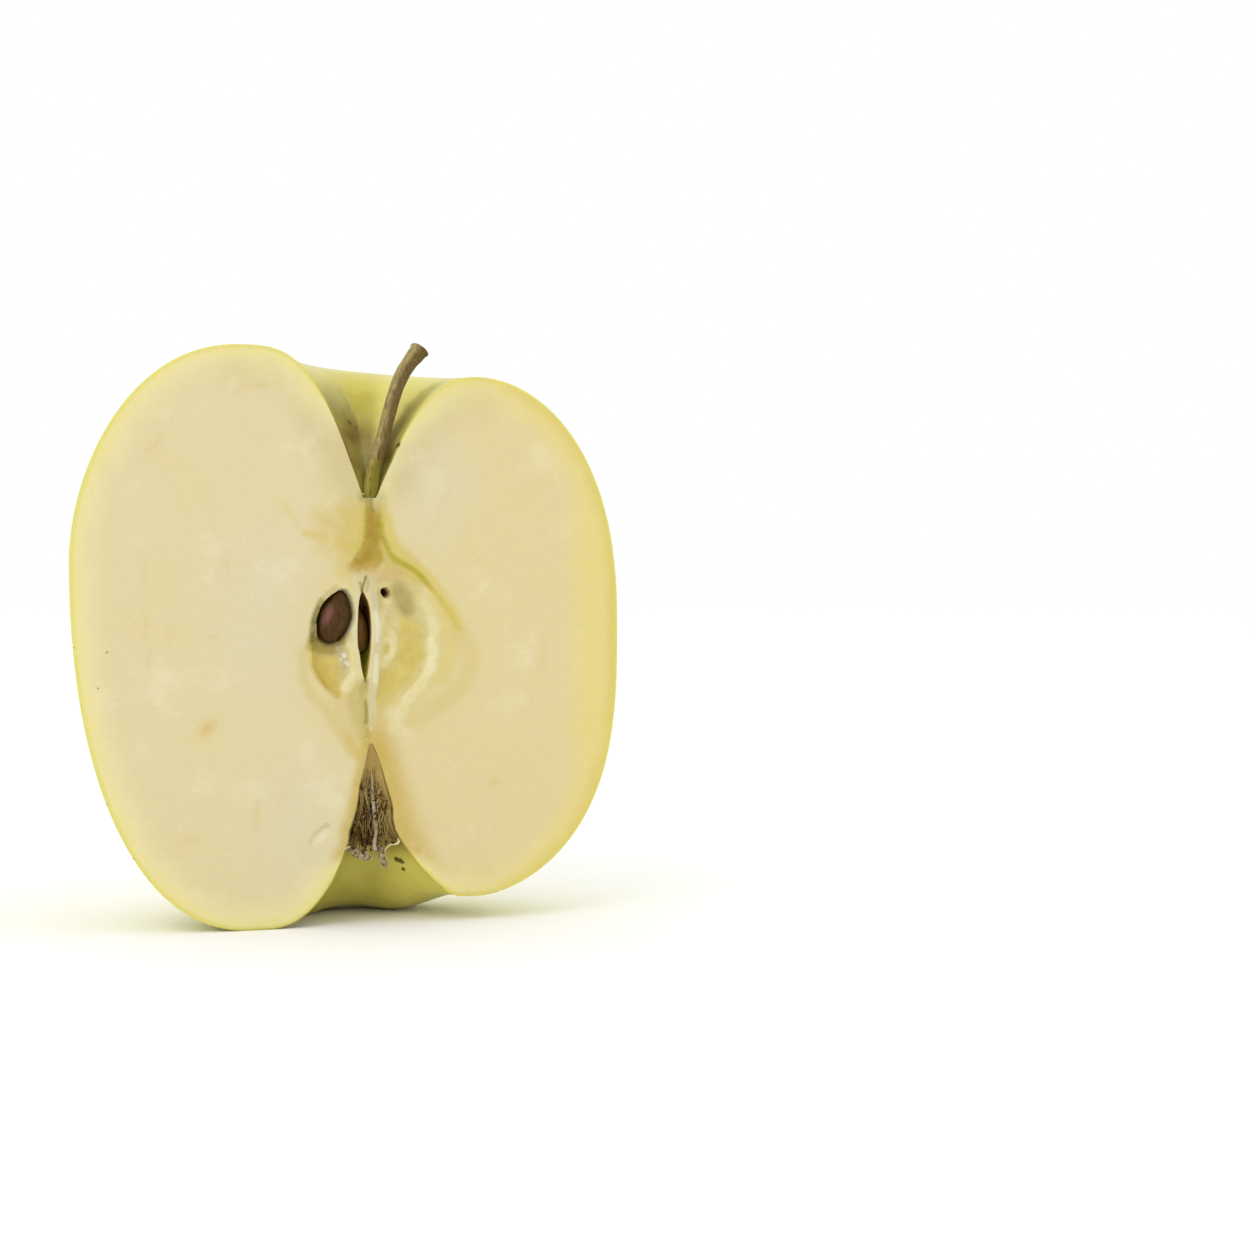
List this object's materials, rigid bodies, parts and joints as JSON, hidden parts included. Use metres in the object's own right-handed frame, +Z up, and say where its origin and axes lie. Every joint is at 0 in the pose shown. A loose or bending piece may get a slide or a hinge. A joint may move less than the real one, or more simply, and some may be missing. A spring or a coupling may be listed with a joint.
{
  "type": "apple half",
  "caption": "Upright half of a yellow-green apple, cut through stem, core and calyx, with seeds in the opened core.",
  "frame": {"origin": "centre of the bounding box at the floor that the half stands on", "axes": "+Z up through the core from calyx to stem, the flat cut face looks toward -Y, +X to the right as the cut face is seen"},
  "size_m": [0.076, 0.0378, 0.079],
  "materials": {
    "skin_and_flesh": "smooth waxy yellow-green skin round moist cream flesh",
    "stem_bark": "dry brown bark, greener at its foot",
    "seed_coat": "glossy dark brown seed coat",
    "dry_calyx": "dry fuzzy grey-brown flower remains"
  },
  "bodies": {
    "root": {"apple_body": "skin_and_flesh", "stem": "stem_bark", "seed_left": "seed_coat", "seed_middle": "seed_coat", "style_strand": "dry_calyx", "sepal_left": "dry_calyx", "sepal_middle": "dry_calyx"}
  },
  "joints": []
}
